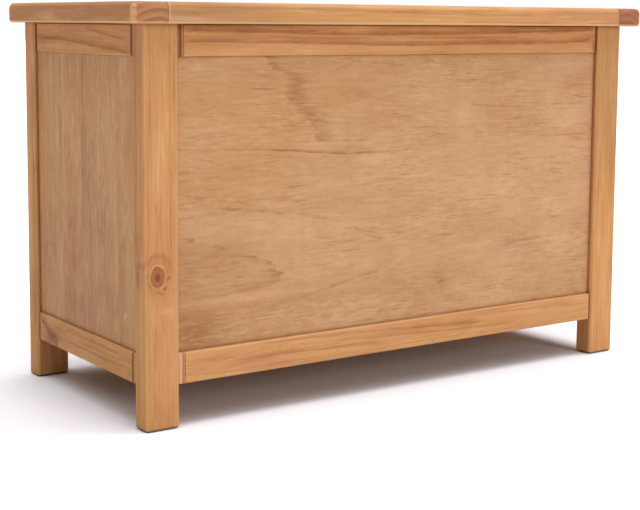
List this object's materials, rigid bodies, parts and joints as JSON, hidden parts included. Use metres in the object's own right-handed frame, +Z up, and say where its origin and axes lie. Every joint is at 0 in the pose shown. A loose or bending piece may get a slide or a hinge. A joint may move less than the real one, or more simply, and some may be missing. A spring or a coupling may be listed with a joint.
{
  "type": "storage ottoman",
  "caption": "Panelled pine storage box on short legs, with a flat hinged lid that serves as a bench seat and slotted stays that hold it open.",
  "frame": {"origin": "on the floor, in the middle of the overall box of lid, legs and hinge barrels", "axes": "+Z up, +X along the length to the right as seen from the front, front faces -Y, hinges at +Y"},
  "size_m": [0.78, 0.3518, 0.48],
  "materials": {
    "pine_legs": "waxed honey pine, straight grain, a few knots",
    "pine_rails": "waxed honey pine, grain along the rail",
    "pine_lid_boards": "waxed honey pine, grain along the lid",
    "pine_lid_ends": "waxed pine, grain across the lid, dark end grain at front and back",
    "plywood_long_panels": "waxed rotary-cut plywood, grain along the panel",
    "veneer_end_panels": "waxed plywood with upright grain",
    "plywood_base": "bare plywood",
    "pine_cleats": "bare sawn pine",
    "screw_steel": "zinc plated",
    "hinge_brass": "brass plated, satin",
    "stay_steel": "brass plated, satin"
  },
  "bodies": {
    "carcass": {"base_panel": "plywood_base", "base_screws": "screw_steel", "cleat_back": "pine_cleats", "cleat_front": "pine_cleats", "cleat_left": "pine_cleats", "cleat_right": "pine_cleats", "cleat_screws": "screw_steel", "hinge_left_pin": "hinge_brass", "hinge_left_rail_leaf": "hinge_brass", "hinge_rail_screws": "screw_steel", "hinge_right_pin": "hinge_brass", "hinge_right_rail_leaf": "hinge_brass", "leg_back_left": "pine_legs", "leg_back_right": "pine_legs", "leg_front_left": "pine_legs", "leg_front_right": "pine_legs", "panel_back": "plywood_long_panels", "panel_front": "plywood_long_panels", "panel_left": "veneer_end_panels", "panel_right": "veneer_end_panels", "rail_back_bottom": "pine_rails", "rail_back_top": "pine_rails", "rail_front_bottom": "pine_rails", "rail_front_top": "pine_rails", "rail_left_bottom": "pine_rails", "rail_left_top": "pine_rails", "rail_right_bottom": "pine_rails", "rail_right_top": "pine_rails", "stay_left_shoulder_screw": "stay_steel", "stay_right_shoulder_screw": "stay_steel"},
    "lid": {"hinge_left_lid_leaf": "hinge_brass", "hinge_lid_screws": "screw_steel", "hinge_right_lid_leaf": "hinge_brass", "lid_board_back": "pine_lid_boards", "lid_board_front": "pine_lid_boards", "lid_board_mid_back": "pine_lid_boards", "lid_board_mid_front": "pine_lid_boards", "lid_end_left": "pine_lid_ends", "lid_end_right": "pine_lid_ends", "stay_bracket_screws": "screw_steel", "stay_left_bracket": "stay_steel", "stay_left_rivet": "stay_steel", "stay_right_bracket": "stay_steel", "stay_right_rivet": "stay_steel"},
    "stay_arm_left": {"stay_left_arm": "stay_steel"},
    "stay_arm_right": {"stay_right_arm": "stay_steel"}
  },
  "joints": [
    {"name": "lid_hinge", "type": "hinge", "parent": "carcass", "child": "lid", "pos_m": [0, 0.17267, 0.456], "axis": [-1, 0, 0], "range_deg": [0, 95]},
    {"name": "stay_left_pivot", "type": "hinge", "parent": "lid", "child": "stay_arm_left", "pos_m": [-0.3417, 0.04292, 0.448], "axis": [-1, 0, 0], "range_deg": [-47.5, 0]},
    {"name": "stay_right_pivot", "type": "hinge", "parent": "lid", "child": "stay_arm_right", "pos_m": [0.3417, 0.04292, 0.448], "axis": [-1, 0, 0], "range_deg": [-47.5, 0]}
  ],
  "couplings": [
    {"joint": "stay_left_pivot", "follows": "lid_hinge", "ratio": -0.5},
    {"joint": "stay_right_pivot", "follows": "lid_hinge", "ratio": -0.5}
  ]
}
